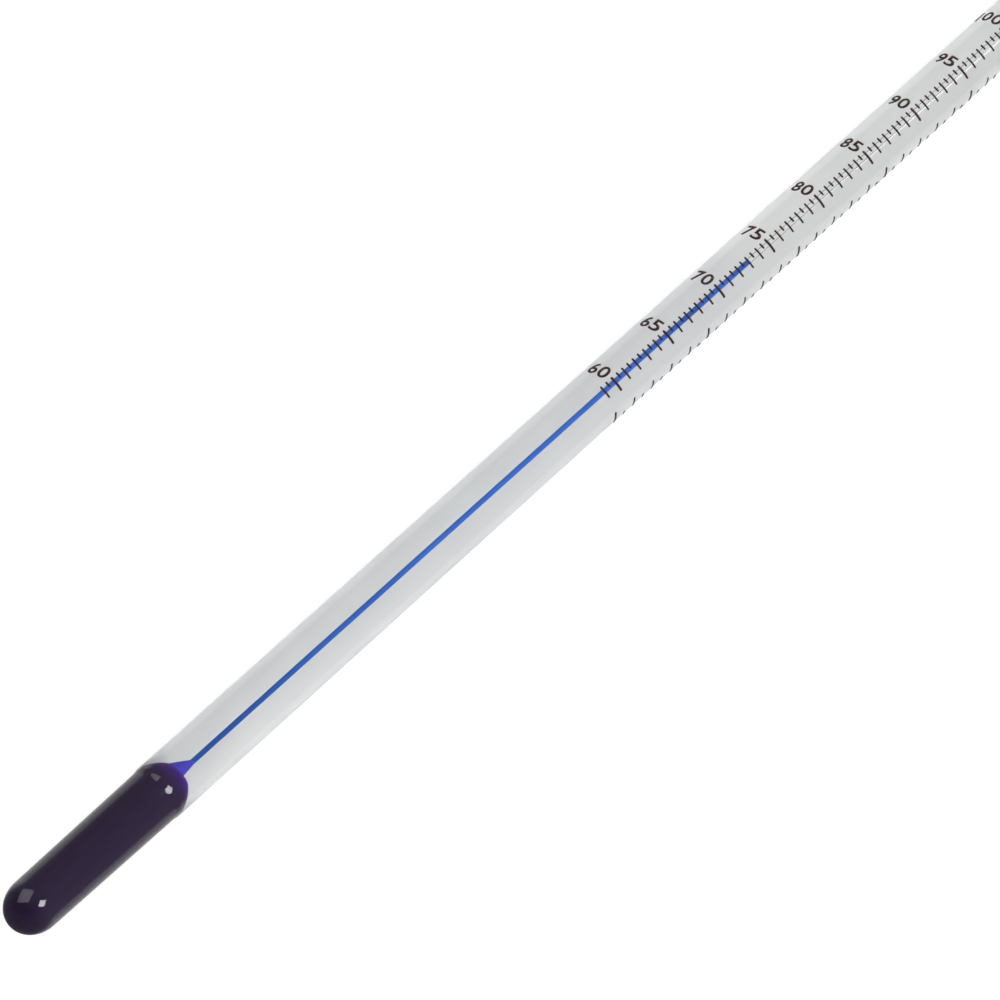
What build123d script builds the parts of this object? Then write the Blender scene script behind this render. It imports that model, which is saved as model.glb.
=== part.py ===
"""Spirit-in-glass thermometer with a Fahrenheit and a Celsius scale, lying on a table.

Frame, in millimetres: +X runs along the stem from the bulb to the closed top, +Z is up, and the
origin is on the table under the middle of the thermometer. Places along the stem are measured from
the bulb's tip. Angles round the stem are degrees from +Z towards -Y, which runs rightwards for
someone who reads the scales with the bulb down.
"""

from build123d import *

import os
from math import cos, radians, sin, sqrt

# driving dimensions: glass
LENGTH = 300.0
STEM_RADIUS = 3.25
BORE_RADIUS = 0.18
TOP_DOME = 2.4  # length of the fire-polished end
BULB_TIP_RADIUS = 2.96
NOSE = 3.4  # length of the rounded tip
BULB_END_RADIUS = 3.13
BULB_WALL = 0.75
SEAL = 22.0  # where the bulb is fused to the stem
SEAL_FLARE = 1.0  # length over which the bulb widens to the stem
NECK = 24.45  # end of the bulb's cavity
SHOULDER = 5.0  # half length of the ellipsoid that the cavity's domed end belongs to
SHOULDER_END_RADIUS = 1.0  # of the dome's flat end
NECK_RADIUS = 0.65  # base of the cone that leads to the bore
NECK_OFFSET = 0.33  # of the cone's base from the stem's axis
NECK_ANGLE = -61.0  # side of the axis that the base lies on
FUNNEL = 2.0  # length of the cone
CHAMBER_START = 272.0  # expansion chamber that ends the bore
CHAMBER_LENGTH = 14.0
CHAMBER_RADIUS = 0.8

# driving dimensions: white opal band fused into the back of the stem
OPAL_RADIUS = 2.75
OPAL_THICKNESS = 0.3
OPAL_HALF_ANGLE = 51.0
OPAL_END = 296.0

# driving dimensions: spirit
LIQUID_GAP = 0.01  # between the still spirit and the glass
THREAD_GAP = 0.02  # between the rising thread and its bore
MENISCUS_LENGTH = 12.0  # top of the thread, which keeps its shape as it rises
MENISCUS_DISH = 0.1  # depth of its hollow top

# driving dimensions: scales, printed in fired enamel
FRONT_ANGLE = 66.0  # centre line between the two scales
SCALE_START = 92.6  # the 59 F line and the 15 C line
MM_PER_F = 1.835
READING_F = 73.7
F_FIRST, F_LAST = 59, 149
C_FIRST, C_LAST = 15, 65
INK_GAP = 0.01
INK = 0.04
LONG_LINE, SHORT_LINE = 0.34, 0.27  # widths of the numbered lines and of the others
LINE_FOOT = 48.6  # angle from the front at which every line starts
FIVE_ARC, DEGREE_ARC, HALF_ARC = 34.2, 28.5, 13.6
NUMERAL_FOOT = 53.9  # angle from the front at which the numerals start
NUMERAL_STEP = 24.0  # angle from one digit to the next
UNIT_RISE = 5.0  # from the last line to the unit's letters
DIGIT_HEIGHT = 1.8
DIGIT_WIDTH = 1.18
STROKE = 0.23

# centre lines of the strokes of each digit and unit letter ("o" is the degree sign), on a field
# that runs from -1 to 1 rightwards and upwards
STROKES = {
    "0": [
        [(0, 1), (-0.5, 0.9), (-1, 0.4), (-1, -0.4), (-0.5, -0.9), (0, -1)],
        [(0, 1), (0.5, 0.9), (1, 0.4), (1, -0.4), (0.5, -0.9), (0, -1)],
    ],
    "1": [[(-0.5, 0.6), (0.1, 1), (0.1, -1)]],
    "2": [[(-1, 0.5), (-0.5, 1), (0.5, 1), (1, 0.5), (-1, -1), (1, -1)]],
    "3": [
        [(-1, 0.8), (-0.4, 1), (0.5, 1), (1, 0.5), (0.3, 0)],
        [(0.3, 0), (1, -0.5), (0.5, -1), (-0.4, -1), (-1, -0.8)],
    ],
    "4": [[(0.4, -1), (0.4, 1), (-1, -0.4), (1, -0.4)]],
    "5": [[(0.9, 1), (-0.8, 1), (-0.9, 0.1), (0.4, 0.1), (1, -0.4), (0.4, -1), (-1, -0.9)]],
    "6": [
        [(0.6, 1), (-0.4, 0.8), (-1, 0), (-1, -0.5), (-0.4, -1), (0.4, -1), (1, -0.5)],
        [(1, -0.5), (0.4, 0.1), (-0.4, 0.1), (-1, -0.3)],
    ],
    "7": [[(-1, 1), (1, 1), (-0.2, -1)]],
    "8": [
        [(0, 1), (-0.8, 0.7), (-0.8, 0.4), (1, -0.4), (1, -0.7), (0, -1)],
        [(0, 1), (0.8, 0.7), (0.8, 0.4), (-1, -0.4), (-1, -0.7), (0, -1)],
    ],
    "9": [
        [(-0.6, -1), (0.4, -0.8), (1, 0), (1, 0.5), (0.4, 1), (-0.4, 1), (-1, 0.5)],
        [(-1, 0.5), (-0.4, -0.1), (0.4, -0.1), (1, 0.3)],
    ],
    "o": [
        [(0, 1), (-0.6, 0.7), (0, 0.4)],
        [(0, 1), (0.6, 0.7), (0, 0.4)],
    ],
    "F": [[(1, 1), (-1, 1), (-1, -1)], [(-1, 0.05), (0.6, 0.05)]],
    "C": [[(1, 0.6), (0.4, 1), (-0.4, 1), (-1, 0.5), (-1, -0.5), (-0.4, -1), (0.4, -1), (1, -0.6)]],
}

# derived places along the stem
CAVITY_RADIUS = BULB_END_RADIUS - BULB_WALL
SHOULDER_START = NECK - SHOULDER * sqrt(1 - (SHOULDER_END_RADIUS / CAVITY_RADIUS) ** 2)
BORE_START = NECK + FUNNEL
MENISCUS = SCALE_START + (READING_F - F_FIRST) * MM_PER_F
MM_PER_C = MM_PER_F * 9 / 5
F_END = SCALE_START + (F_LAST - F_FIRST) * MM_PER_F
C_END = SCALE_START + (C_LAST - C_FIRST) * MM_PER_C
INK_RADIUS = STEM_RADIUS + INK_GAP

# outlines are drawn along the stem's axis and outwards from it, from the bulb's tip
profile = Plane(origin=(-LENGTH / 2, 0, STEM_RADIUS), x_dir=(1, 0, 0), z_dir=(0, -1, 0))
stem_axis = Axis((0, 0, STEM_RADIUS), (1, 0, 0))


def ring_plane(place):
    """Plane across the stem in which angles round the stem are drawn as they are."""
    return Plane(
        origin=(place - LENGTH / 2, 0, STEM_RADIUS), x_dir=(0, 0, 1), z_dir=(1, 0, 0)
    )


def face_plane(place, angle):
    """Plane that faces out of the stem on its skin, for someone who reads it upright."""
    turn = radians(angle)
    outward = Vector(0, -sin(turn), cos(turn))
    rightward = Vector(0, -cos(turn), -sin(turn))
    middle = Vector(place - LENGTH / 2, 0, STEM_RADIUS)
    return Plane(origin=middle + outward * INK_RADIUS, x_dir=rightward, z_dir=outward)


def draw_sector(inner, outer, middle, half_angle):
    """Ring sector about the stem's axis."""
    with BuildLine() as outline:
        near = CenterArc((0, 0), inner, middle - half_angle, 2 * half_angle)
        far = CenterArc((0, 0), outer, middle - half_angle, 2 * half_angle)
        Line(near @ 0, far @ 0)
        Line(near @ 1, far @ 1)
    make_face(outline.edges())


def draw_bulb_cavity(gap):
    """Half outline of the inside of the bulb up to the neck, shrunk by a gap."""
    with BuildLine() as outline:
        nose = EllipticalCenterArc(
            (NOSE, 0), NOSE - BULB_WALL - gap, BULB_TIP_RADIUS - BULB_WALL - gap, 90
        )
        shoulder = EllipticalCenterArc(
            (SHOULDER_START, 0), SHOULDER - gap, CAVITY_RADIUS - gap, 0
        )
        Line(nose @ 0, shoulder @ 1)
        Line(nose @ 1, shoulder @ 0)
    make_face(outline.edges())
    # the dome ends flat
    with Locations((NECK - gap, 0)):
        Rectangle(
            SHOULDER, CAVITY_RADIUS, align=(Align.MIN, Align.MIN), mode=Mode.SUBTRACT
        )


def loft_cone(gap, end_gap, mode=Mode.ADD):
    """Leaning cone from the neck to the bore, shrunk by a gap at each end."""
    side = radians(NECK_ANGLE)
    with BuildSketch(ring_plane(NECK - gap)) as base:
        with Locations((NECK_OFFSET * cos(side), NECK_OFFSET * sin(side))):
            Circle(NECK_RADIUS - gap)
    with BuildSketch(ring_plane(BORE_START)) as end:
        Circle(BORE_RADIUS - end_gap)
    loft([base.sketch, end.sketch], mode=mode)


def draw_digit(digit):
    """One digit or unit letter of the scales, from its strokes, about the plane's origin."""
    half_width = (DIGIT_WIDTH - STROKE) / 2
    half_height = (DIGIT_HEIGHT - STROKE) / 2
    for stroke in STROKES[digit]:
        with BuildLine() as centre_line:
            Polyline(*[(right * half_width, up * half_height) for right, up in stroke])
        SlotArc(centre_line.wire(), STROKE)


# ---------------------------------------------------------------- glass
with BuildPart() as bulb_glass:
    with BuildSketch(profile):
        with BuildLine():
            nose = EllipticalCenterArc((NOSE, 0), NOSE, BULB_TIP_RADIUS, 90)
            Polyline(
                nose @ 0,
                (SEAL - SEAL_FLARE, BULB_END_RADIUS),
                (SEAL, STEM_RADIUS),
                (SEAL, 0),
                nose @ 1,
            )
        make_face()
    revolve(axis=stem_axis)
    with BuildSketch(profile):
        draw_bulb_cavity(0)
    revolve(axis=stem_axis, mode=Mode.SUBTRACT)

with BuildPart() as stem_glass:
    with BuildSketch(profile):
        with BuildLine():
            top = EllipticalCenterArc((LENGTH - TOP_DOME, 0), TOP_DOME, STEM_RADIUS, 0)
            Polyline(top @ 1, (SEAL, STEM_RADIUS), (SEAL, 0), top @ 0)
        make_face()
    revolve(axis=stem_axis)
    # domed end of the bulb's cavity, bore and expansion chamber
    with BuildSketch(profile):
        draw_bulb_cavity(0)
        with Locations((BORE_START, 0)):
            Rectangle(CHAMBER_START - BORE_START, BORE_RADIUS, align=(Align.MIN, Align.MIN))
        with BuildLine():
            chamber = EllipticalCenterArc(
                (CHAMBER_START + CHAMBER_LENGTH / 2, 0),
                CHAMBER_LENGTH / 2 + 0.3,
                CHAMBER_RADIUS,
                0,
                arc_size=180,
            )
            Line(chamber @ 1, chamber @ 0)
        make_face()
    revolve(axis=stem_axis, mode=Mode.SUBTRACT)
    loft_cone(0, 0, mode=Mode.SUBTRACT)
    # pocket that the opal band fills
    with BuildSketch(ring_plane(SEAL)):
        draw_sector(
            OPAL_RADIUS, OPAL_RADIUS + OPAL_THICKNESS, FRONT_ANGLE + 180, OPAL_HALF_ANGLE
        )
    extrude(amount=OPAL_END - SEAL, mode=Mode.SUBTRACT)

with BuildPart() as opal_band:
    with BuildSketch(ring_plane(SEAL)):
        draw_sector(
            OPAL_RADIUS, OPAL_RADIUS + OPAL_THICKNESS, FRONT_ANGLE + 180, OPAL_HALF_ANGLE
        )
    extrude(amount=OPAL_END - SEAL)

# ---------------------------------------------------------------- spirit
with BuildPart() as bulb_spirit:
    with BuildSketch(profile):
        draw_bulb_cavity(LIQUID_GAP)
    revolve(axis=stem_axis)

with BuildPart() as neck_spirit:
    loft_cone(LIQUID_GAP, THREAD_GAP)

with BuildPart() as spirit_thread:
    with BuildSketch(ring_plane(BORE_START)):
        Circle(BORE_RADIUS - THREAD_GAP)
    extrude(amount=MENISCUS - MENISCUS_LENGTH - BORE_START)

with BuildPart() as spirit_meniscus:
    with BuildSketch(profile):
        with BuildLine():
            rim = (MENISCUS, BORE_RADIUS - THREAD_GAP)
            dish = ThreePointArc(
                (MENISCUS - MENISCUS_DISH, 0),
                (MENISCUS - MENISCUS_DISH * 0.78, rim[1] / 2),
                rim,
            )
            Polyline(
                dish @ 1,
                (MENISCUS - MENISCUS_LENGTH, rim[1]),
                (MENISCUS - MENISCUS_LENGTH, 0),
                dish @ 0,
            )
        make_face()
    revolve(axis=stem_axis)

# ---------------------------------------------------------------- Fahrenheit scale
half_places = []
degree_places = []
five_places = []
for half_degree in range(2 * F_FIRST, 2 * F_LAST + 1):
    place = SCALE_START + (half_degree / 2 - F_FIRST) * MM_PER_F
    if half_degree % 10 == 0:
        five_places.append(place)
    elif half_degree % 2 == 0:
        degree_places.append(place)
    else:
        half_places.append(place)

with BuildPart() as f_half_marks:
    with BuildSketch(*[ring_plane(place - SHORT_LINE / 2) for place in half_places]):
        draw_sector(
            INK_RADIUS,
            INK_RADIUS + INK,
            FRONT_ANGLE - LINE_FOOT + HALF_ARC / 2,
            HALF_ARC / 2,
        )
    extrude(amount=SHORT_LINE)

with BuildPart() as f_degree_marks:
    with BuildSketch(*[ring_plane(place - SHORT_LINE / 2) for place in degree_places]):
        draw_sector(
            INK_RADIUS,
            INK_RADIUS + INK,
            FRONT_ANGLE - LINE_FOOT + DEGREE_ARC / 2,
            DEGREE_ARC / 2,
        )
    extrude(amount=SHORT_LINE)

with BuildPart() as f_five_marks:
    with BuildSketch(*[ring_plane(place - LONG_LINE / 2) for place in five_places]):
        draw_sector(
            INK_RADIUS,
            INK_RADIUS + INK,
            FRONT_ANGLE - LINE_FOOT + FIVE_ARC / 2,
            FIVE_ARC / 2,
        )
    extrude(amount=LONG_LINE)

# each digit is a flat film that touches the ink's radius along its middle
with BuildPart() as f_numerals:
    for degrees in range(60, F_LAST, 5):
        place = SCALE_START + (degrees - F_FIRST) * MM_PER_F
        for index, digit in enumerate(reversed(str(degrees))):
            angle = FRONT_ANGLE - NUMERAL_FOOT - (index + 0.5) * NUMERAL_STEP
            with BuildSketch(face_plane(place, angle)):
                draw_digit(digit)
    extrude(amount=INK)

with BuildPart() as f_unit:
    for index, letter in enumerate("Fo"):
        angle = FRONT_ANGLE - NUMERAL_FOOT - (index + 0.5) * NUMERAL_STEP
        with BuildSketch(face_plane(F_END + UNIT_RISE, angle)):
            draw_digit(letter)
    extrude(amount=INK)

# ---------------------------------------------------------------- Celsius scale
half_places = []
degree_places = []
five_places = []
for half_degree in range(2 * C_FIRST, 2 * C_LAST + 1):
    place = SCALE_START + (half_degree / 2 - C_FIRST) * MM_PER_C
    if half_degree % 10 == 0:
        five_places.append(place)
    elif half_degree % 2 == 0:
        degree_places.append(place)
    else:
        half_places.append(place)

with BuildPart() as c_half_marks:
    with BuildSketch(*[ring_plane(place - SHORT_LINE / 2) for place in half_places]):
        draw_sector(
            INK_RADIUS,
            INK_RADIUS + INK,
            FRONT_ANGLE + LINE_FOOT - HALF_ARC / 2,
            HALF_ARC / 2,
        )
    extrude(amount=SHORT_LINE)

with BuildPart() as c_degree_marks:
    with BuildSketch(*[ring_plane(place - SHORT_LINE / 2) for place in degree_places]):
        draw_sector(
            INK_RADIUS,
            INK_RADIUS + INK,
            FRONT_ANGLE + LINE_FOOT - DEGREE_ARC / 2,
            DEGREE_ARC / 2,
        )
    extrude(amount=SHORT_LINE)

with BuildPart() as c_five_marks:
    with BuildSketch(*[ring_plane(place - LONG_LINE / 2) for place in five_places]):
        draw_sector(
            INK_RADIUS,
            INK_RADIUS + INK,
            FRONT_ANGLE + LINE_FOOT - FIVE_ARC / 2,
            FIVE_ARC / 2,
        )
    extrude(amount=LONG_LINE)

with BuildPart() as c_numerals:
    for degrees in range(C_FIRST, C_LAST + 1, 5):
        place = SCALE_START + (degrees - C_FIRST) * MM_PER_C
        for index, digit in enumerate(str(degrees)):
            angle = FRONT_ANGLE + NUMERAL_FOOT + (index + 0.5) * NUMERAL_STEP
            with BuildSketch(face_plane(place, angle)):
                draw_digit(digit)
    extrude(amount=INK)

with BuildPart() as c_unit:
    for index, letter in enumerate("oC"):
        angle = FRONT_ANGLE + NUMERAL_FOOT + (index + 0.5) * NUMERAL_STEP
        with BuildSketch(face_plane(C_END + UNIT_RISE, angle)):
            draw_digit(letter)
    extrude(amount=INK)

# ---------------------------------------------------------------- files
stem_glass.part.label = "stem_glass"
bulb_glass.part.label = "bulb_glass"
opal_band.part.label = "opal_band"
bulb_spirit.part.label = "bulb_spirit"
neck_spirit.part.label = "neck_spirit"
spirit_thread.part.label = "spirit_thread"
spirit_meniscus.part.label = "spirit_meniscus"
f_half_marks.part.label = "f_half_marks"
f_degree_marks.part.label = "f_degree_marks"
f_five_marks.part.label = "f_five_marks"
f_numerals.part.label = "f_numerals"
f_unit.part.label = "f_unit"
c_half_marks.part.label = "c_half_marks"
c_degree_marks.part.label = "c_degree_marks"
c_five_marks.part.label = "c_five_marks"
c_numerals.part.label = "c_numerals"
c_unit.part.label = "c_unit"

os.makedirs("parts", exist_ok=True)
export_step(stem_glass.part, "parts/stem_glass.step")
export_step(bulb_glass.part, "parts/bulb_glass.step")
export_step(opal_band.part, "parts/opal_band.step")
export_step(bulb_spirit.part, "parts/bulb_spirit.step")
export_step(neck_spirit.part, "parts/neck_spirit.step")
export_step(spirit_thread.part, "parts/spirit_thread.step")
export_step(spirit_meniscus.part, "parts/spirit_meniscus.step")
export_step(f_half_marks.part, "parts/f_half_marks.step")
export_step(f_degree_marks.part, "parts/f_degree_marks.step")
export_step(f_five_marks.part, "parts/f_five_marks.step")
export_step(f_numerals.part, "parts/f_numerals.step")
export_step(f_unit.part, "parts/f_unit.step")
export_step(c_half_marks.part, "parts/c_half_marks.step")
export_step(c_degree_marks.part, "parts/c_degree_marks.step")
export_step(c_five_marks.part, "parts/c_five_marks.step")
export_step(c_numerals.part, "parts/c_numerals.step")
export_step(c_unit.part, "parts/c_unit.step")
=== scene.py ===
"""Looks of the spirit thermometer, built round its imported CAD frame, in metres.

+X runs along the stem from the bulb to the closed top and +Z is up. Angles round the stem are
degrees from +Z towards -Y, which runs rightwards for someone who reads it with the bulb down.
"""

from math import asin, cos, degrees, hypot, pi, radians, sin, sqrt

import bmesh
import bpy
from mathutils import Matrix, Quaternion, Vector


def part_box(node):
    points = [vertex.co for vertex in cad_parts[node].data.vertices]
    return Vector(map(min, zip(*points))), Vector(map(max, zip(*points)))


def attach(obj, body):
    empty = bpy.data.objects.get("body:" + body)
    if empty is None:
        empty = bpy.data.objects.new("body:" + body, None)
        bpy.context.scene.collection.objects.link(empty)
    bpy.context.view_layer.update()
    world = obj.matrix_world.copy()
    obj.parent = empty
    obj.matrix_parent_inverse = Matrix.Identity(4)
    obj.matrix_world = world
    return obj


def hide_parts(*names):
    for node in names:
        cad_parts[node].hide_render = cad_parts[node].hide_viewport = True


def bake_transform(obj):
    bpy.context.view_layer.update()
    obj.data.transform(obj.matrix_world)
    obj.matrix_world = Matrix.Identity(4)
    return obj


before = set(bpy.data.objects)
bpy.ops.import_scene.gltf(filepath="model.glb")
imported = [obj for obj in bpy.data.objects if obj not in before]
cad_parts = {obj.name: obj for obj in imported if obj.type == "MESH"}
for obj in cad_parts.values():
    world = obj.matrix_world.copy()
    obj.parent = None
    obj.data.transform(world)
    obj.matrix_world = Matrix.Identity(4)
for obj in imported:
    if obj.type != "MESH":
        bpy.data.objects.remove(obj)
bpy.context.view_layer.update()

MM = 0.001
LIQUID_GAP = 0.01 * MM

# ---------------------------------------------------------------- places taken from the frame
stem_low, stem_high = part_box("stem_glass")
bulb_low, bulb_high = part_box("bulb_glass")
neck_low, neck_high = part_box("neck_spirit")
opal_low, opal_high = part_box("opal_band")
lines_low, lines_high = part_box("c_five_marks")
LONG_LINE, SHORT_LINE = 0.34 * MM, 0.27 * MM  # widths of the five-degree and the other lines

STEM_RADIUS = (stem_high.z - stem_low.z) / 2
AXIS_HEIGHT = STEM_RADIUS
TIP, SEAL, TOP = bulb_low.x, bulb_high.x, stem_high.x
NECK, BORE_START = neck_low.x + LIQUID_GAP, neck_high.x
THREAD_TOP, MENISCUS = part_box("spirit_thread")[1].x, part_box("spirit_meniscus")[1].x
SCALE_START = lines_low.x + LONG_LINE / 2
SCALE_END = lines_high.x - LONG_LINE / 2
PER_C = (SCALE_END - SCALE_START) / 50
PER_F = PER_C * 5 / 9

# ---------------------------------------------------------------- sizes of what the looks add
BORE_RADIUS = 0.18 * MM
MENISCUS_DEPTH = 0.1 * MM
CONTACT = 0.006 * MM  # how far the spirit reaches into the glass, so that no air shows between
BULB_TIP_RADIUS, BULB_END_RADIUS = 2.96 * MM, 3.13 * MM
BULB_WALL = 0.75 * MM
NOSE = 3.4 * MM
SEAL_FLARE = 1 * MM
CAVITY_RADIUS = BULB_END_RADIUS - BULB_WALL
SHOULDER = 5 * MM  # length of the quarter ellipse that the shoulder is cut from
SHOULDER_END_RADIUS = 1 * MM
SHOULDER_START = NECK - SHOULDER * sqrt(1 - (SHOULDER_END_RADIUS / CAVITY_RADIUS) ** 2)
NECK_RADIUS = 0.65 * MM
NECK_OFFSET, NECK_ANGLE = 0.33 * MM, -61  # the cone starts this far off the axis, this way
TOP_DOME = 2.4 * MM
CHAMBER_START, CHAMBER_END = 122 * MM, 136 * MM
CHAMBER_RADIUS = 0.8 * MM
OPAL_RADIUS, OPAL_THICKNESS = 2.75 * MM, 0.3 * MM
OPAL_HALF_ANGLE = 51
FRONT_ANGLE = 66  # middle of the scales, opposite the middle of the opal
INK_FLOOR, INK_TOP = 0.01 * MM, 0.05 * MM  # above the glass
# angles from the front: where the lines start, and how far each kind runs towards the front
LINE_FOOT, FIVE_ARC, DEGREE_ARC, HALF_ARC = 48.6, 34.2, 28.5, 13.6
NUMERAL_FOOT, NUMERAL_STEP = 53.9, 24.0
DIGIT_HEIGHT, DIGIT_WIDTH = 1.8 * MM, 1.18 * MM
CAPITAL_SHARE = 0.72  # height of a digit in the built-in font, for a text size of 1
STROKE_GROWTH = 0.04 * MM
WIDEST_STRETCH = 1.15  # narrow glyphs, such as a 1, are widened by no more than this
BEND_STEP = 0.1  # glyphs are cut every so many millimetres, so that they bend round the stem
DEGREE_SIGN_SHARE = 0.5  # of a digit's height
UNIT_RISE = 5 * MM
SCALES = (  # letter, side of the front, first and last degree, length of a degree
    ("f", -1, 59, 149, PER_F),
    ("c", 1, 15, 65, PER_C),
)

# ---------------------------------------------------------------- glass, light and camera
GLASS_INDEX, BORE_WALL_INDEX = 1.5, 1.05
# painted shade: the grey laid on the bore's wall where it is seen edge-on
BORE_PAINTED_SHADE = (0.42, 0.42, 0.42)
FLOOR_REACH = 3.0
FLOOR_GREY, FLOOR_GLOW = 0.34, 0.84
LIT_PLACE = -147 * MM  # the lights face this place, below the stem's axis
SOFTBOXES = (  # name, direction, distance, width, height, power and spin in degrees
    ("key_softbox", (-0.16, 0.37, 0.917), 1.2, 1.0, 1.0, 4.8, -4),
    ("strip_softbox", (0.12, -0.74, 0.66), 1.2, 0.42, 0.46, 6.4, -57),
    ("fill_softbox", (0.8, -0.42, 0.43), 2.0, 0.8, 0.8, 8, 0),
)
SKY, BACKDROP_GLOW, PALE_WALL = 0.2, 0.85, 0.95
BACKDROP = (0.5, 0.42, -0.757)  # direction of its middle
BACKDROP_EDGE, BACKDROP_FULL = 0.2, 0.42  # cosines of the angle from its middle
BACKDROP_SIDE = 0.3  # it fades in over this much of X, beyond X = 0
DIM_FROM, DIM_TO, DIM_SHARE = -0.5, 0.2, 0.15  # the room is dimmer on the bulb's side, by X
CAMERA_AZIMUTH, CAMERA_ELEVATION = -49.98, 49.24
CAMERA_TARGET, CAMERA_DISTANCE = Vector((-74.64, -1.07, 2.68)), 513.3  # in millimetres
CAMERA_LENS, CAMERA_SENSOR = 170, 36


def on_stem(x, radius, angle):
    """Point at a radius and an angle round the stem's axis."""
    turn = radians(angle)
    return Vector((x, -radius * sin(turn), AXIS_HEIGHT + radius * cos(turn)))


# ---------------------------------------------------------------- mesh building
def new_object(name, bm):
    mesh = bpy.data.meshes.new(name)
    bm.to_mesh(mesh)
    bm.free()
    for polygon in mesh.polygons:
        polygon.use_smooth = True
    made = bpy.data.objects.new(name, mesh)
    bpy.context.scene.collection.objects.link(made)
    return made


def lean(x, radius):
    """How far the cone between the neck and the bore stands off the stem's axis."""
    if x < NECK - 0.001 * MM or radius > NECK_RADIUS + 2 * CONTACT:
        return 0
    return NECK_OFFSET * max(BORE_START - x, 0) / (BORE_START - NECK)


def add_lathe(bm, outline, segments=128, inside_out=False):
    """Adds a surface of revolution. The outline is (x, radius) pairs that run towards the top."""
    rings = []
    for x, radius in outline:
        count = segments if radius > 0 else 1
        shift = on_stem(0, lean(x, radius), NECK_ANGLE) - on_stem(0, 0, 0)
        rings.append([
            bm.verts.new(on_stem(x, radius, 360 * k / count) + shift) for k in range(count)
        ])
    for low, high in zip(rings, rings[1:]):
        for k in range(segments):
            corners = [
                low[k % len(low)],
                low[(k + 1) % len(low)],
                high[(k + 1) % len(high)],
                high[k % len(high)],
            ]
            unique = list(dict.fromkeys(corners))
            bm.faces.new(reversed(unique) if inside_out else unique)


def arc(centre, x_radius, y_radius, start, end, steps):
    """Points of an ellipse's arc in the outline's plane, angles in degrees from +X."""
    points = []
    for k in range(steps + 1):
        turn = radians(start + (end - start) * k / steps)
        radius = centre[1] + y_radius * sin(turn)
        points.append((centre[0] + x_radius * cos(turn), max(radius, 0)))
    return points


def even_run(start, end, steps):
    """Points between two outline points, without the first."""
    return [
        (start[0] + (end[0] - start[0]) * k / steps, start[1] + (end[1] - start[1]) * k / steps)
        for k in range(1, steps + 1)
    ]


# ---------------------------------------------------------------- outlines of glass and spirit
def bulb_cavity(gap):
    """Half outline of the inside of the bulb up to the neck, shrunk by a gap."""
    inset = BULB_WALL + gap
    side = CAVITY_RADIUS - gap
    nose = arc((TIP + NOSE, 0), NOSE - inset, BULB_TIP_RADIUS - inset, 180, 90, 32)
    nose[0] = (nose[0][0], 0)
    wall = even_run(nose[-1], (SHOULDER_START, side), 24)
    last = degrees(asin(SHOULDER_END_RADIUS / CAVITY_RADIUS))
    shoulder = arc((SHOULDER_START, 0), SHOULDER - gap, side, 90, last, 32)
    return nose + wall + shoulder[1:]


def outer_skin():
    """Half outline of the outside, from the bulb's tip to the closed top."""
    nose = arc((TIP + NOSE, 0), NOSE, BULB_TIP_RADIUS, 180, 90, 32)
    nose[0] = (nose[0][0], 0)
    bulb = even_run(nose[-1], (SEAL - SEAL_FLARE, BULB_END_RADIUS), 24)
    rise = STEM_RADIUS - BULB_END_RADIUS
    flare = [
        (SEAL - SEAL_FLARE * (1 - k / 12), BULB_END_RADIUS + rise * (1 - cos(pi * k / 12)) / 2)
        for k in range(1, 13)
    ]
    stem = even_run((SEAL, STEM_RADIUS), (TOP - TOP_DOME, STEM_RADIUS), 90)
    dome = arc((TOP - TOP_DOME, 0), TOP_DOME, STEM_RADIUS, 90, 0, 24)
    dome[-1] = (dome[-1][0], 0)
    return nose + bulb + flare + stem + dome[1:]


def build_glass():
    """Stem and bulb as one fused piece of glass, with the cavity for the spirit inside it."""
    bm = bmesh.new()
    add_lathe(bm, outer_skin())
    bore = even_run((BORE_START, BORE_RADIUS), (CHAMBER_START, BORE_RADIUS), 60)
    middle = ((CHAMBER_START + CHAMBER_END) / 2, 0)
    chamber = arc(middle, (CHAMBER_END - CHAMBER_START) / 2, CHAMBER_RADIUS, 164, 0, 32)
    chamber[-1] = (chamber[-1][0], 0)
    base = [(NECK, NECK_RADIUS)]
    cavity = bulb_cavity(0) + base + even_run(base[0], (BORE_START, BORE_RADIUS), 12)
    add_lathe(bm, cavity + bore + chamber, inside_out=True)
    return new_object("glass_envelope", bm)


def build_bulb_spirit():
    bm = bmesh.new()
    add_lathe(bm, bulb_cavity(-CONTACT) + [(NECK, SHOULDER_END_RADIUS), (NECK, 0)])
    return new_object("bulb_spirit_filling", bm)


def build_neck_spirit():
    bm = bmesh.new()
    start = (NECK, NECK_RADIUS + CONTACT)
    end = (BORE_START, BORE_RADIUS + CONTACT)
    add_lathe(bm, [(NECK, 0), start] + even_run(start, end, 12) + [(BORE_START, 0)], 64)
    return new_object("neck_spirit_cone", bm)


def build_thread():
    """The spirit in the bore, from the cone to the moving top."""
    bm = bmesh.new()
    radius = BORE_RADIUS + CONTACT
    wall = [(BORE_START, radius), (THREAD_TOP, radius)]
    add_lathe(bm, [(BORE_START, 0)] + wall + [(THREAD_TOP, 0)], 48)
    return new_object("spirit_column", bm)


def build_meniscus():
    """The moving top of the spirit, hollow because the spirit wets the glass."""
    bm = bmesh.new()
    radius = BORE_RADIUS + CONTACT
    dish = [
        (MENISCUS - MENISCUS_DEPTH * (1 - (k / 8) ** 2), radius * k / 8)
        for k in range(8, -1, -1)
    ]
    add_lathe(bm, [(THREAD_TOP, 0), (THREAD_TOP, radius)] + dish, 48)
    return new_object("spirit_column_top", bm)


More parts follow.
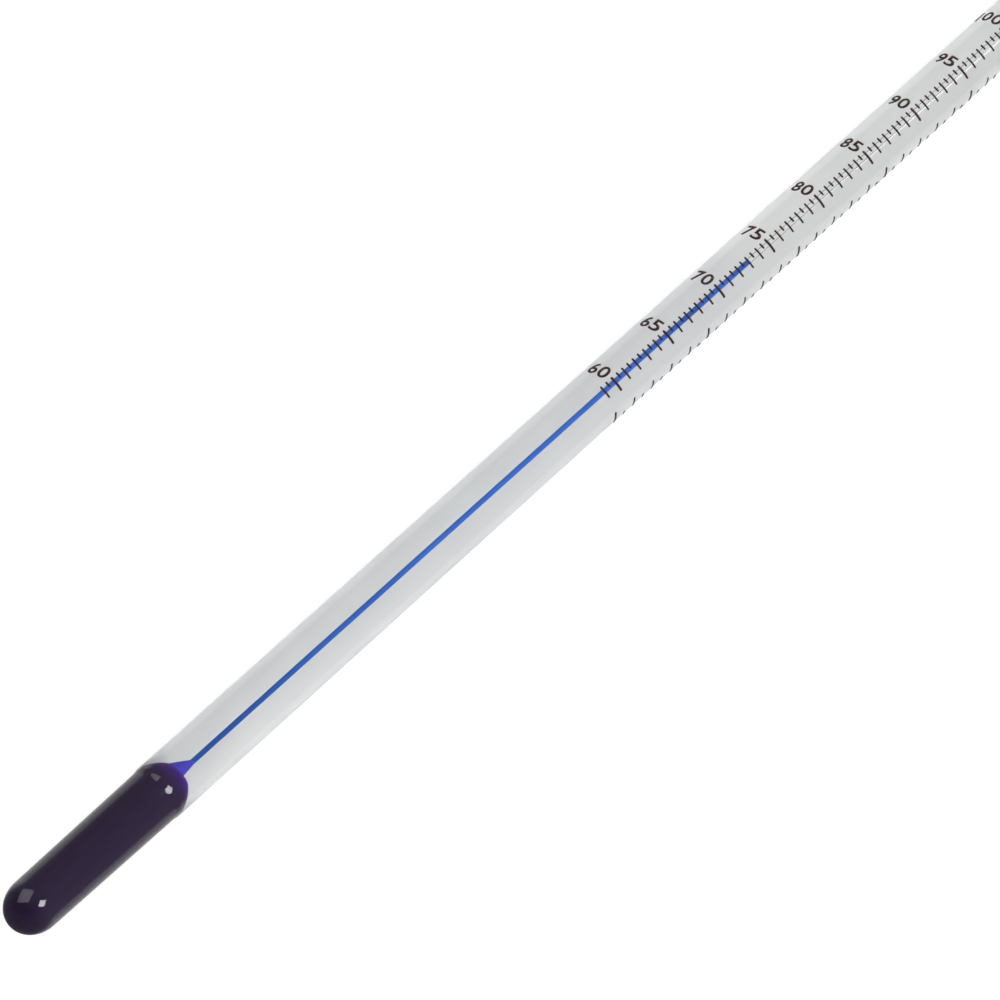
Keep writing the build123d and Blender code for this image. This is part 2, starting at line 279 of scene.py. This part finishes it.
def build_opal():
    """The white band behind the bore, thinned towards both of its edges."""
    bm = bmesh.new()
    across = 72
    sections = 64
    grid = []
    for k in range(sections + 1):
        x = opal_low.x + (opal_high.x - opal_low.x) * k / sections
        inner = []
        outer = []
        for m in range(across + 1):
            side = 2 * m / across - 1
            angle = FRONT_ANGLE + 180 + OPAL_HALF_ANGLE * side
            half = OPAL_THICKNESS / 2 * sqrt(max(1 - side**8, 0.04))
            middle = OPAL_RADIUS + OPAL_THICKNESS / 2
            inner.append(bm.verts.new(on_stem(x, middle - half, angle)))
            outer.append(bm.verts.new(on_stem(x, middle + half, angle)))
        grid.append(inner + outer[::-1])
    count = len(grid[0])
    for low, high in zip(grid, grid[1:]):
        for m in range(count):
            n = (m + 1) % count
            bm.faces.new((low[m], low[n], high[n], high[m]))
    bm.faces.new(grid[0][::-1])
    bm.faces.new(grid[-1])
    bmesh.ops.recalc_face_normals(bm, faces=bm.faces)
    return new_object("opal_stripe", bm)


# ---------------------------------------------------------------- enamel
def add_line(bm, x, width, start, end):
    """One graduation line with rounded ends, fired onto the glass between two angles."""
    steps = 16
    half = width / 2
    cap = half / STEM_RADIUS * 180 / pi
    span = abs(end - start)
    places = []
    for k in range(steps + 1):
        share = (1 - cos(pi * k / steps)) / 2
        reach = share * span
        near_end = min(reach, span - reach)
        narrow = 1 if near_end >= cap else sqrt(max(1 - (1 - near_end / cap) ** 2, 0.02))
        places.append((start + (end - start) * share, half * narrow))
    rows = []
    for angle, reach in places:
        rows.append([
            bm.verts.new(on_stem(x + side * reach, STEM_RADIUS + height, angle))
            for side, height in (
                (-1, INK_FLOOR),
                (-0.8, INK_TOP),
                (0.8, INK_TOP),
                (1, INK_FLOOR),
            )
        ])
    for low, high in zip(rows, rows[1:]):
        for k in range(4):
            bm.faces.new((low[k], low[(k + 1) % 4], high[(k + 1) % 4], high[k]))
    bm.faces.new(rows[0])
    bm.faces.new(rows[-1])


def build_lines(name, places, width, side, reach):
    """All lines of one kind on one scale. side is -1 for Fahrenheit, left of the front."""
    bm = bmesh.new()
    foot = FRONT_ANGLE + side * LINE_FOOT
    for place in places:
        add_line(bm, place, width, foot, foot - side * reach)
    bmesh.ops.recalc_face_normals(bm, faces=bm.faces)
    return new_object(name, bm)


def glyph_mesh(character):
    """A digit, letter or degree sign from the built-in font as a flat mesh, in metres."""
    text = bpy.data.curves.new("glyph", "FONT")
    text.body = character
    text.size = DIGIT_HEIGHT / CAPITAL_SHARE
    text.offset = STROKE_GROWTH
    text.resolution_u = 6
    text.align_x = "CENTER"
    holder = bpy.data.objects.new("glyph", text)
    bpy.context.scene.collection.objects.link(holder)
    bpy.context.view_layer.update()
    evaluated = holder.evaluated_get(bpy.context.evaluated_depsgraph_get())
    mesh = bpy.data.meshes.new_from_object(evaluated)
    bpy.data.objects.remove(holder)
    bpy.data.curves.remove(text)
    return mesh


def add_glyph(bm, character, x, angle):
    """Wraps one flat glyph onto the stem and gives it the enamel's thickness."""
    mesh = glyph_mesh(character)
    flat = bmesh.new()
    flat.from_mesh(mesh)
    bpy.data.meshes.remove(mesh)
    bmesh.ops.dissolve_limit(flat, angle_limit=0.01, verts=flat.verts, edges=flat.edges)
    low = min(v.co.y for v in flat.verts)
    high = max(v.co.y for v in flat.verts)
    left = min(v.co.x for v in flat.verts)
    right = max(v.co.x for v in flat.verts)
    raised = character == "°"
    tall = DEGREE_SIGN_SHARE * DIGIT_HEIGHT if raised else DIGIT_HEIGHT
    lift = DEGREE_SIGN_SHARE * DIGIT_HEIGHT if raised else 0
    wide = min(DIGIT_WIDTH, (right - left) * WIDEST_STRETCH)
    for vertex in flat.verts:
        across = ((vertex.co.x - left) / (right - left) - 0.5) * wide
        up = ((vertex.co.y - low) / (high - low) - 0.5) * tall + lift / 2
        vertex.co = Vector((across, up, 0))
    for k in range(-4, 5):
        everything = flat.verts[:] + flat.edges[:] + flat.faces[:]
        bmesh.ops.bisect_plane(
            flat, geom=everything, plane_co=(k * BEND_STEP * MM, 0, 0), plane_no=(1, 0, 0)
        )
    grown = bmesh.ops.extrude_face_region(flat, geom=flat.faces[:])
    for item in grown["geom"]:
        if isinstance(item, bmesh.types.BMVert):
            item.co.z = 1
    bmesh.ops.recalc_face_normals(flat, faces=flat.faces)
    moved = {}
    for vertex in flat.verts:
        across, up, height = vertex.co
        radius = STEM_RADIUS + (INK_TOP if height > 0.5 else INK_FLOOR)
        turn = angle + across / STEM_RADIUS * 180 / pi
        moved[vertex] = bm.verts.new(on_stem(x + up, radius, turn))
    for face in flat.faces:
        bm.faces.new([moved[vertex] for vertex in face.verts])
    flat.free()


def digit_angle(side, index):
    return FRONT_ANGLE + side * (NUMERAL_FOOT + (index + 0.5) * NUMERAL_STEP)


def build_numerals(name, labels, side):
    """Numerals beside their lines: right-justified on Fahrenheit, left-justified on Celsius."""
    bm = bmesh.new()
    for label, place in labels:
        digits = label[::-1] if side < 0 else label
        for index, digit in enumerate(digits):
            add_glyph(bm, digit, place, digit_angle(side, index))
    return new_object(name, bm)


# ---------------------------------------------------------------- materials
def new_material(name):
    material = bpy.data.materials.new(name)
    material.use_nodes = True
    tree = material.node_tree
    tree.nodes.clear()
    output = tree.nodes.new("ShaderNodeOutputMaterial")
    shader = tree.nodes.new("ShaderNodeBsdfPrincipled")
    tree.links.new(shader.outputs[0], output.inputs["Surface"])
    return material, tree, shader, output


def noise(tree, scale, stretch=(1, 1, 1), detail=3):
    """Noise in the object's own coordinates."""
    place = tree.nodes.new("ShaderNodeTexCoord")
    mapping = tree.nodes.new("ShaderNodeMapping")
    mapping.inputs["Scale"].default_value = stretch
    texture = tree.nodes.new("ShaderNodeTexNoise")
    texture.inputs["Scale"].default_value = scale
    texture.inputs["Detail"].default_value = detail
    tree.links.new(place.outputs["Object"], mapping.inputs["Vector"])
    tree.links.new(mapping.outputs["Vector"], texture.inputs["Vector"])
    return texture.outputs["Fac"]


def ramp(tree, value, *stops):
    node = tree.nodes.new("ShaderNodeValToRGB")
    while len(node.color_ramp.elements) < len(stops):
        node.color_ramp.elements.new(0.5)
    for element, (place, colour) in zip(node.color_ramp.elements, stops):
        element.position = place
        element.color = (*colour, 1)
    tree.links.new(value, node.inputs["Fac"])
    return node.outputs["Color"]


def map_range(tree, value, low, high, to_low=0.0, to_high=1.0):
    node = tree.nodes.new("ShaderNodeMapRange")
    node.inputs["From Min"].default_value = low
    node.inputs["From Max"].default_value = high
    node.inputs["To Min"].default_value = to_low
    node.inputs["To Max"].default_value = to_high
    tree.links.new(value, node.inputs["Value"])
    return node.outputs["Result"]


def along_stem(tree):
    """Distance along the stem in the object's own coordinates."""
    place = tree.nodes.new("ShaderNodeTexCoord")
    split = tree.nodes.new("ShaderNodeSeparateXYZ")
    tree.links.new(place.outputs["Object"], split.inputs["Vector"])
    return split.outputs["X"]


def bump(tree, shader, height, distance, strength=1.0):
    node = tree.nodes.new("ShaderNodeBump")
    node.inputs["Distance"].default_value = distance
    node.inputs["Strength"].default_value = strength
    tree.links.new(height, node.inputs["Height"])
    tree.links.new(node.outputs["Normal"], shader.inputs["Normal"])


def glass_material(name, refraction, painted_edge_shade=None):
    """Clear soda glass with faint draw lines along the stem. The lamps shine through it.

    The last argument, if given, is painted shade: a grey that darkens the glass where it is seen
    edge-on.
    """
    material, tree, shader, output = new_material(name)
    shader.inputs["Base Color"].default_value = (1, 1, 1, 1)
    if painted_edge_shade:
        # painted shade: the glass greys where it is seen edge-on
        edge = tree.nodes.new("ShaderNodeLayerWeight")
        edge_shade_colour = ramp(tree, edge.outputs["Facing"], (0.35, (1, 1, 1)), (0.6, painted_edge_shade))
        tree.links.new(edge_shade_colour, shader.inputs["Base Color"])
    shader.inputs["Transmission Weight"].default_value = 1
    shader.inputs["IOR"].default_value = refraction
    smears = noise(tree, 90, (0.6, 3, 3))
    tree.links.new(map_range(tree, smears, 0.45, 0.8, 0.0, 0.04), shader.inputs["Roughness"])
    draw_lines = noise(tree, 260, (0.02, 1, 1), 2)
    bump(tree, shader, draw_lines, 0.004 * MM, 0.25)
    clear = tree.nodes.new("ShaderNodeBsdfTransparent")
    clear.inputs["Color"].default_value = (0.97, 0.98, 0.98, 1)
    path = tree.nodes.new("ShaderNodeLightPath")
    mix = tree.nodes.new("ShaderNodeMixShader")
    tree.links.new(path.outputs["Is Shadow Ray"], mix.inputs["Fac"])
    tree.links.new(shader.outputs[0], mix.inputs[1])
    tree.links.new(clear.outputs[0], mix.inputs[2])
    tree.links.new(mix.outputs[0], output.inputs["Surface"])
    return material


def opal_material():
    """Milky white glass, a little uneven in density."""
    material, tree, shader, _ = new_material("opal_white_glass")
    clouds = noise(tree, 140, (0.15, 1, 1))
    colour = ramp(tree, clouds, (0.3, (0.56, 0.568, 0.565)), (0.7, (0.6, 0.606, 0.602)))
    tree.links.new(colour, shader.inputs["Base Color"])
    shader.inputs["Roughness"].default_value = 0.6
    shader.inputs["Specular IOR Level"].default_value = 0.2
    shader.inputs["Subsurface Weight"].default_value = 1
    shader.inputs["Subsurface Radius"].default_value = (1, 1, 1)
    shader.inputs["Subsurface Scale"].default_value = 0.6 * MM
    return material


def bulb_spirit_material():
    """Deep violet spirit, nearly black where it is thick and more blue at the shoulder."""
    material, tree, shader, _ = new_material("bulb_spirit_violet")
    place = map_range(tree, along_stem(tree), TIP, NECK)
    colour = ramp(
        tree,
        place,
        (0.0, (0.022, 0.0125, 0.036)),
        (0.2, (0.022, 0.012, 0.038)),
        (0.92, (0.022, 0.011, 0.038)),
        (0.972, (0.035, 0.010, 0.11)),
        (1.0, (0.05, 0.018, 0.22)),
    )
    tree.links.new(colour, shader.inputs["Base Color"])
    swirl = noise(tree, 400, (0.3, 1, 1))
    tree.links.new(map_range(tree, swirl, 0.3, 0.7, 0.05, 0.09), shader.inputs["Roughness"])
    shader.inputs["Specular IOR Level"].default_value = 0.06
    return material


def thread_material(name, low, high):
    """Blue spirit, a little uneven along the bore."""
    material, tree, shader, _ = new_material(name)
    streaks = noise(tree, 500, (0.2, 1, 1))
    colour = ramp(tree, streaks, (0.3, low), (0.7, high))
    tree.links.new(colour, shader.inputs["Base Color"])
    shader.inputs["Roughness"].default_value = 0.5
    shader.inputs["Specular IOR Level"].default_value = 0.1
    return material


def ink_material():
    """Brown-black fired enamel, mottled and slightly grainy."""
    material, tree, shader, _ = new_material("fired_enamel_brown")
    grain = noise(tree, 2500, (1, 1, 1), 4)
    colour = ramp(tree, grain, (0.35, (0.03, 0.008, 0.009)), (0.68, (0.062, 0.019, 0.018)))
    tree.links.new(colour, shader.inputs["Base Color"])
    shader.inputs["Roughness"].default_value = 0.55
    shader.inputs["Specular IOR Level"].default_value = 0.25
    bump(tree, shader, grain, 0.01 * MM, 0.4)
    return material


# ---------------------------------------------------------------- put the pieces together
def finish_piece(piece, body, node_names, material):
    piece.data.materials.clear()
    piece.data.materials.append(material)
    if body:
        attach(piece, body)
    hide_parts(*node_names)


ROOT, MOVING = "thermometer", "spirit_top"
blue_thread = thread_material("thread_spirit_blue", (0.024, 0.112, 0.48), (0.032, 0.127, 0.51))
blue_cone = thread_material("neck_spirit_blue", (0.036, 0.032, 0.34), (0.05, 0.045, 0.42))
enamel = ink_material()

glass = build_glass()
clear_glass = glass_material("drawn_clear_glass", GLASS_INDEX)
finish_piece(glass, ROOT, ["stem_glass", "bulb_glass"], clear_glass)
# painted shade: the wall of the fine bore is greyed where it is seen edge-on, which draws two thin
# grey lines along the stem
glass.data.materials.append(glass_material("bore_wall_glass", BORE_WALL_INDEX, BORE_PAINTED_SHADE))
for face in glass.data.polygons:
    place, y, z = face.center
    if BORE_START < place < CHAMBER_START and hypot(y, z - AXIS_HEIGHT) < CHAMBER_RADIUS:
        face.material_index = 1
finish_piece(build_opal(), ROOT, ["opal_band"], opal_material())
finish_piece(build_bulb_spirit(), ROOT, ["bulb_spirit"], bulb_spirit_material())
finish_piece(build_neck_spirit(), ROOT, ["neck_spirit"], blue_cone)
finish_piece(build_meniscus(), MOVING, ["spirit_meniscus"], blue_thread)

thread = build_thread()
finish_piece(thread, None, ["spirit_thread"], blue_thread)
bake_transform(thread)


def scale_places(first, last, pitch):
    """Places of the half-degree, degree and five-degree lines."""
    halves, wholes, fives = [], [], []
    for half_degree in range(2 * first, 2 * last + 1):
        place = SCALE_START + (half_degree / 2 - first) * pitch
        if half_degree % 10 == 0:
            fives.append(place)
        elif half_degree % 2 == 0:
            wholes.append(place)
        else:
            halves.append(place)
    return halves, wholes, fives


for letter, side, first, last, pitch in SCALES:
    halves, wholes, fives = scale_places(first, last, pitch)
    kinds = (
        ("half_marks", halves, SHORT_LINE, HALF_ARC),
        ("degree_marks", wholes, SHORT_LINE, DEGREE_ARC),
        ("five_marks", fives, LONG_LINE, FIVE_ARC),
    )
    for kind, places, width, reach in kinds:
        lines = build_lines(f"{letter}_{kind}_enamel", places, width, side, reach)
        finish_piece(lines, ROOT, [f"{letter}_{kind}"], enamel)
    first_label = first + (-first) % 5
    labels = [
        (str(degree), SCALE_START + (degree - first) * pitch)
        for degree in range(first_label, last + 1, 5)
    ]
    numerals = build_numerals(f"{letter}_numerals_enamel", labels, side)
    finish_piece(numerals, ROOT, [f"{letter}_numerals"], enamel)
    unit_place = SCALE_START + (last - first) * pitch + UNIT_RISE
    unit = build_numerals(f"{letter}_unit_enamel", [("°" + letter.upper(), unit_place)], side)
    finish_piece(unit, ROOT, [f"{letter}_unit"], enamel)


# ---------------------------------------------------------------- floor, light and camera
def build_floor():
    """A pale light table that the thermometer lies on."""
    bm = bmesh.new()
    corners = [(-1, -1), (1, -1), (1, 1), (-1, 1)]
    bm.faces.new([bm.verts.new((x * FLOOR_REACH, y * FLOOR_REACH, 0)) for x, y in corners])
    floor = new_object("studio_floor", bm)
    material, _, shader, _ = new_material("pale_floor")
    shader.inputs["Base Color"].default_value = (FLOOR_GREY, FLOOR_GREY, FLOOR_GREY, 1)
    shader.inputs["Roughness"].default_value = 0.9
    shader.inputs["Specular IOR Level"].default_value = 0.1
    shader.inputs["Emission Color"].default_value = (1, 1, 1, 1)
    shader.inputs["Emission Strength"].default_value = FLOOR_GLOW
    floor.data.materials.append(material)
    floor.visible_glossy = False


def add_softbox(name, direction, distance, width, height, power, spin):
    """Rectangular light that faces the bulb. spin turns it about its own axis, in degrees."""
    light = bpy.data.lights.new(name, "AREA")
    light.shape = "RECTANGLE"
    light.size = width
    light.size_y = height
    light.energy = power
    lamp = bpy.data.objects.new(name, light)
    towards = Vector(direction).normalized()
    lamp.location = Vector((LIT_PLACE, 0, 0)) + towards * distance
    lamp.rotation_mode = "QUATERNION"
    facing = towards.to_track_quat("Z", "Y")
    lamp.rotation_quaternion = facing @ Quaternion((0, 0, 1), radians(spin))
    bpy.context.scene.collection.objects.link(lamp)


def build_world():
    """Dim room with a white backdrop beyond the light table. The camera itself sees a pale wall."""
    world = bpy.data.worlds.new("studio")
    bpy.context.scene.world = world
    world.use_nodes = True
    tree = world.node_tree
    place = tree.nodes.new("ShaderNodeTexCoord")
    facing = tree.nodes.new("ShaderNodeVectorMath")
    facing.operation = "DOT_PRODUCT"
    facing.inputs[1].default_value = BACKDROP
    tree.links.new(place.outputs["Generated"], facing.inputs[0])
    split = tree.nodes.new("ShaderNodeSeparateXYZ")
    tree.links.new(place.outputs["Generated"], split.inputs["Vector"])
    near = map_range(tree, facing.outputs["Value"], BACKDROP_EDGE, BACKDROP_FULL)
    beside = map_range(tree, split.outputs["X"], 0.0, BACKDROP_SIDE)
    share = tree.nodes.new("ShaderNodeMath")
    share.operation = "MULTIPLY"
    tree.links.new(near, share.inputs[0])
    tree.links.new(beside, share.inputs[1])
    glow = map_range(tree, share.outputs["Value"], 0, 1, SKY, BACKDROP_GLOW)
    strength = tree.nodes.new("ShaderNodeMath")
    strength.operation = "MULTIPLY"
    tree.links.new(glow, strength.inputs[0])
    dim_end = map_range(tree, split.outputs["X"], DIM_FROM, DIM_TO, DIM_SHARE, 1)
    tree.links.new(dim_end, strength.inputs[1])
    seen = tree.nodes.new("ShaderNodeLightPath")
    plain_wall = tree.nodes.new("ShaderNodeMath")
    plain_wall.operation = "MAXIMUM"
    tree.links.new(strength.outputs["Value"], plain_wall.inputs[0])
    pale = map_range(tree, seen.outputs["Is Camera Ray"], 0, 1, 0, PALE_WALL)
    tree.links.new(pale, plain_wall.inputs[1])
    tree.links.new(plain_wall.outputs["Value"], tree.nodes["Background"].inputs["Strength"])
    tree.nodes["Background"].inputs["Color"].default_value = (1, 1, 1, 1)


def build_camera():
    """Looks down along the stem from beyond the bulb."""
    azimuth, elevation = radians(CAMERA_AZIMUTH), radians(CAMERA_ELEVATION)
    back = Vector((
        sin(azimuth) * cos(elevation),
        -cos(azimuth) * cos(elevation),
        sin(elevation),
    ))
    data = bpy.data.cameras.new("camera")
    data.lens = CAMERA_LENS
    data.sensor_width = CAMERA_SENSOR
    data.clip_start = 0.01
    camera = bpy.data.objects.new("camera", data)
    camera.location = CAMERA_TARGET * MM + back * CAMERA_DISTANCE * MM
    camera.rotation_mode = "QUATERNION"
    camera.rotation_quaternion = back.to_track_quat("Z", "Y")
    bpy.context.scene.collection.objects.link(camera)
    bpy.context.scene.camera = camera


build_floor()
for softbox in SOFTBOXES:
    add_softbox(*softbox)
build_camera()
build_world()
bpy.context.scene.view_settings.view_transform = "Standard"
